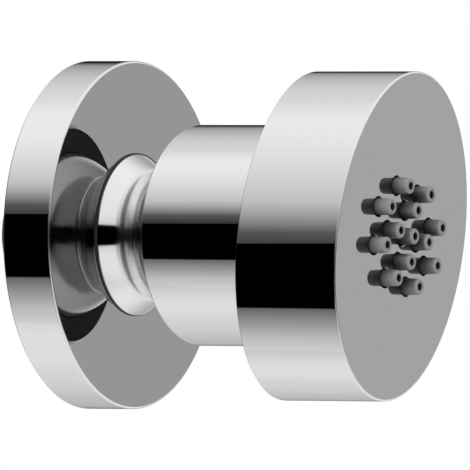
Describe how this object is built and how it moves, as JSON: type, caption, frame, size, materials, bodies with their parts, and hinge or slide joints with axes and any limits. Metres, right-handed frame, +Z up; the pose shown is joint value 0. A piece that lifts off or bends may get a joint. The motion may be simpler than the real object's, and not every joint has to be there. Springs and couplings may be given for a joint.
{
  "type": "shower body jet",
  "caption": "Wall-mounted shower body jet: round flange, ball on a threaded stub, and an oval drum head on a round sleeve with rubber nozzles in its flat face.",
  "frame": {"origin": "on the flange's axis in the plane of the wall, inside the threaded stub", "axes": "+Z up, the flange faces -Y, +X to the right of someone who faces the nozzles; +Y runs into the wall along the stub. The head rests swivelled 4.4 degrees towards -X on its ball, as in the picture."},
  "size_m": [0.06, 0.0787, 0.06],
  "materials": {
    "polished_chrome": "mirror-polished chrome plate on brass",
    "stainless_steel": "plain stainless steel",
    "black_rubber": "smooth moulded rubber",
    "grey_silicone": "matt moulded silicone",
    "soft_foam": "closed-cell foam",
    "black_plastic": "moulded acetal",
    "white_plastic": "moulded acetal"
  },
  "bodies": {
    "wall_side": {"wall_flange": "polished_chrome", "flange_gasket": "soft_foam", "ball_connector": "polished_chrome", "collar_seal": "black_rubber", "inlet_oring": "black_rubber", "inlet_strainer": "stainless_steel", "flow_regulator": "white_plastic", "regulator_oring": "black_rubber"},
    "seal": {"ball_seal": "black_rubber"},
    "seat": {"seat_cup": "white_plastic", "seat_spring": "stainless_steel"},
    "head": {"rear_ball_ring": "black_plastic", "swivel_sleeve": "polished_chrome", "sleeve_oring": "black_rubber", "back_plate": "polished_chrome", "back_screws": "stainless_steel", "head_seal": "black_rubber", "head_shell": "polished_chrome", "diffuser_plate": "white_plastic", "plate_screws": "stainless_steel", "nozzle_mat": "grey_silicone"}
  },
  "joints": [
    {"name": "head_tilt", "type": "hinge", "parent": "wall_side", "child": "seal", "pos_m": [0, -0.026, 0], "axis": [1, 0, 0], "range_deg": [-15, 15]},
    {"name": "head_pan", "type": "hinge", "parent": "seal", "child": "seat", "pos_m": [0, -0.026, 0], "axis": [0, 0, 1], "range_deg": [-10.6, 19.4]},
    {"name": "head_spin", "type": "hinge", "parent": "seat", "child": "head", "pos_m": [0, -0.026, 0], "axis": [0.0767, 0.9971, 0], "continuous": true}
  ]
}
